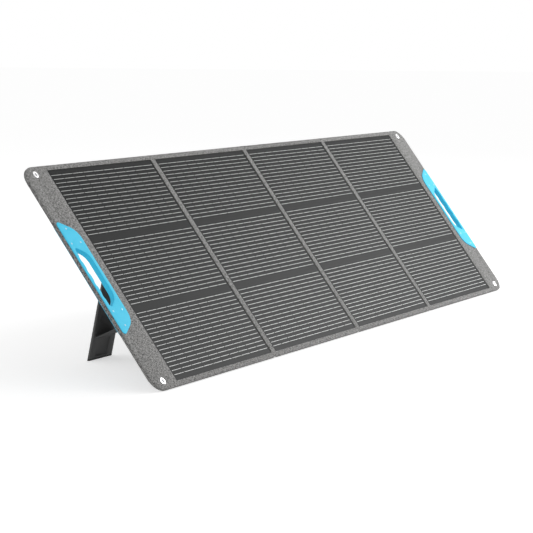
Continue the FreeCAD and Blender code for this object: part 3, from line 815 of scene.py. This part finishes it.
class SOLARPANEL_OT_straps(bpy.types.Operator):
    """Hangs the cloth straps that stop the legs, and the bars on the back that hold them"""
    bl_idname = "solarpanel.straps"
    bl_label = "Straps"

    def execute(self, context):
        shape = context.scene.solar_panel_shape
        finish = webbing_finish("strap_webbing", tone("strap"))
        for side in SIDES:
            bar = side + "_strap_back_bar"
            dress(bar, bar + "_piece", shape.small_round, leg_finish(),
                  side + "_outer")

            flat = shape_of(side + "_strap", side + "_strap_plate", LEAN)
            spots = [vertex.co.copy() for vertex in flat.data.vertices]
            bpy.data.objects.remove(flat)
            near = max(spot.z for spot in spots)
            far = min(spot.z for spot in spots)
            start = mean_point([spot for spot in spots if spot.z > near - STRAP_END])
            stop = mean_point([spot for spot in spots if spot.z < far + STRAP_END])
            width = max(spot.x for spot in spots) - min(spot.x for spot in spots)
            run = (stop - start).length
            clear_selection()
            bpy.ops.mesh.primitive_grid_add(x_subdivisions=8, y_subdivisions=32, size=1)
            strap = bpy.context.object
            strap.name = side + "_strap_cloth"
            strap.scale = (width, run, 1)
            apply_place(strap)
            for vertex in strap.data.vertices:
                share = vertex.co.y / (run / 2)
                vertex.co.z = -shape.strap_sag * (1 - share * share)
            apply_modifier(strap, "SOLIDIFY", thickness=STRAP_THICKNESS, offset=0.0)
            round_edges(strap, STRAP_THICKNESS / 4, segments=1)
            along = (stop - start).normalized()
            across = Vector((1, 0, 0))
            out = across.cross(along)
            turn = Matrix((across, along, out)).transposed().to_4x4()
            place = Matrix.Translation((start + stop) / 2) @ turn
            remember_place(strap)
            finish_piece(strap, finish, placing=LEAN @ place)
            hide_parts(side + "_strap")
            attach(strap, side + "_outer")
            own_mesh(strap)
        return {"FINISHED"}


class SOLARPANEL_OT_junction_box(bpy.types.Operator):
    """Moulds the junction box, its lid, seal, screws and output socket"""
    bl_idname = "solarpanel.junction_box"
    bl_label = "Junction box"

    def execute(self, context):
        small = context.scene.solar_panel_shape.small_round
        for node, width, finish, slot in (
                ("junction_box_base", small, box_finish(), "box_plastic"),
                ("junction_box_lid", small * 2, box_finish(), "box_plastic"),
                ("junction_box_seal", small / 2, rubber_finish(), "black_rubber"),
                ("junction_box_screws", small, bright_finish(), "plated_steel"),
                ("output_socket", small, box_finish(), "box_plastic")):
            dress(node, node + "_piece", width, finish, "right_outer")
        return {"FINISHED"}


class SOLARPANEL_OT_frame_finishes(bpy.types.Operator):
    """Gives the laminates and the hidden layers their finishes"""
    bl_idname = "solarpanel.frame_finishes"
    bl_label = "Laminate and inner layers"

    def execute(self, context):
        finishes = {
            "front_film": laminate_finish(),
            "cells": plastic_finish("silicon_cell", tone("silicon"), roughness=0.35),
            "backsheet": plastic_finish("black_backsheet", tone("backsheet"), roughness=0.6),
            "bus_ribbons": metal_finish("tinned_ribbon", tone("ribbon"), roughness=0.4),
            "core_board": plastic_finish("foamed_board", tone("board"), roughness=0.85,
                                         grain=400.0, depth=0.0001),
            "diode_card": plastic_finish("circuit_card", tone("card"), roughness=0.5),
            "bypass_diodes": plastic_finish("diode_case", tone("diode"), roughness=0.35),
        }
        for name, node in frame["nodes"].items():
            if node.hide_render:
                continue
            ending = [key for key in finishes if name.endswith(key)]
            finish = finishes[ending[0]] if ending else box_finish()
            node.data.materials.clear()
            node.data.materials.append(finish)
        return {"FINISHED"}


# ---------------------------------------------------------------- stage

def turn_towards(holder, target):
    """Turns a lamp or camera towards a point, upright."""
    holder.rotation_mode = "QUATERNION"
    holder.rotation_quaternion = (Vector(target) - holder.location).to_track_quat("-Z", "Y")


def lamp(name, place, target, size, power):
    """A large soft lamp turned towards a point."""
    data = bpy.data.lights.new(name, "AREA")
    data.shape = "DISK"
    data.size = size
    data.energy = power
    holder = bpy.data.objects.new(name, data)
    bpy.context.collection.objects.link(holder)
    holder.location = place
    turn_towards(holder, target)


class SOLARPANEL_OT_stage(bpy.types.Operator):
    """Lays the pale floor and sets the soft lamps, the world and the camera"""
    bl_idname = "solarpanel.stage"
    bl_label = "Stage"

    def execute(self, context):
        scene = context.scene
        clear_selection()
        bpy.ops.mesh.primitive_plane_add(size=FLOOR_SIZE, location=(0, 0, 0))
        floor = bpy.context.object
        floor.name = "floor"
        apply_place(floor)
        finish, shader, add = new_finish("pale_floor")
        set_shader(shader, tone("floor"), roughness=0.95, specular=0.0)
        path = add("LightPath")
        seen = add("Math", {0: path.outputs["Is Camera Ray"], 1: path.outputs["Is Glossy Ray"]},
                   operation="MAXIMUM")
        glow = add("Math", {0: seen.outputs[0], 1: FLOOR_GLOW}, operation="MULTIPLY")
        shader.inputs["Emission Color"].default_value = (1, 1, 1, 1)
        add.link(glow.outputs[0], shader.inputs["Emission Strength"])
        floor.data.materials.append(finish)

        world = bpy.data.worlds.new("soft_studio")
        scene.world = world
        world.use_nodes = True
        tree = world.node_tree
        background = tree.nodes["Background"]
        background.inputs["Color"].default_value = (1, 1, 1, 1)
        path = tree.nodes.new("ShaderNodeLightPath")
        seen = tree.nodes.new("ShaderNodeMath")
        seen.operation = "MAXIMUM"
        tree.links.new(path.outputs["Is Camera Ray"], seen.inputs[0])
        tree.links.new(path.outputs["Is Glossy Ray"], seen.inputs[1])
        through = tree.nodes.new("ShaderNodeMath")
        through.operation = "MAXIMUM"
        tree.links.new(seen.outputs[0], through.inputs[0])
        tree.links.new(path.outputs["Is Transmission Ray"], through.inputs[1])
        level = tree.nodes.new("ShaderNodeMapRange")
        level.inputs["To Min"].default_value = WORLD_LIGHT
        level.inputs["To Max"].default_value = 1.0
        tree.links.new(through.outputs[0], level.inputs["Value"])
        tree.links.new(level.outputs["Result"], background.inputs["Strength"])

        for name, place, target, size, power in LAMPS:
            lamp(name, place, target, size, power)

        data = bpy.data.cameras.new("camera")
        data.lens = CAMERA_LENS
        data.sensor_width = 36.0
        data.clip_start = 0.1
        data.clip_end = 200.0
        camera = bpy.data.objects.new("camera", data)
        bpy.context.collection.objects.link(camera)
        camera.location = CAMERA_PLACE
        turn_towards(camera, CAMERA_TARGET)
        scene.camera = camera
        scene.view_settings.view_transform = "Standard"
        return {"FINISHED"}


class SOLARPANEL_PT_sidebar(bpy.types.Panel):
    """Lists the panel's pieces in the sidebar"""
    bl_idname = "SOLARPANEL_PT_sidebar"
    bl_label = "Folding solar panel"
    bl_space_type = "VIEW_3D"
    bl_region_type = "UI"
    bl_category = "Solar Panel"

    def draw(self, context):
        for operator in OPERATORS:
            self.layout.operator(operator.bl_idname)
        for settings in (context.scene.solar_panel_shape, context.scene.solar_panel_colours):
            box = self.layout.box()
            for name in settings.__annotations__:
                box.prop(settings, name)


OPERATORS = (
    SOLARPANEL_OT_front_covers,
    SOLARPANEL_OT_spine_cloth,
    SOLARPANEL_OT_back_covers,
    SOLARPANEL_OT_wires,
    SOLARPANEL_OT_stitching,
    SOLARPANEL_OT_handles,
    SOLARPANEL_OT_handle_screws,
    SOLARPANEL_OT_eyelets,
    SOLARPANEL_OT_leg_hinges,
    SOLARPANEL_OT_legs,
    SOLARPANEL_OT_straps,
    SOLARPANEL_OT_junction_box,
    SOLARPANEL_OT_frame_finishes,
    SOLARPANEL_OT_stage,
)
CLASSES = (SolarPanelShape, SolarPanelColours, *OPERATORS, SOLARPANEL_PT_sidebar)


def register():
    for cls in CLASSES:
        bpy.utils.register_class(cls)
    bpy.types.Scene.solar_panel_shape = PointerProperty(type=SolarPanelShape)
    bpy.types.Scene.solar_panel_colours = PointerProperty(type=SolarPanelColours)


def unregister():
    del bpy.types.Scene.solar_panel_colours
    del bpy.types.Scene.solar_panel_shape
    for cls in reversed(CLASSES):
        bpy.utils.unregister_class(cls)


def main():
    register()
    bpy.ops.solarpanel.front_covers()
    bpy.ops.solarpanel.spine_cloth()
    bpy.ops.solarpanel.back_covers()
    bpy.ops.solarpanel.wires()
    bpy.ops.solarpanel.stitching()
    bpy.ops.solarpanel.handles()
    bpy.ops.solarpanel.handle_screws()
    bpy.ops.solarpanel.eyelets()
    bpy.ops.solarpanel.leg_hinges()
    bpy.ops.solarpanel.legs()
    bpy.ops.solarpanel.straps()
    bpy.ops.solarpanel.junction_box()
    bpy.ops.solarpanel.frame_finishes()
    bpy.ops.solarpanel.stage()


if __name__ == "__main__":
    main()
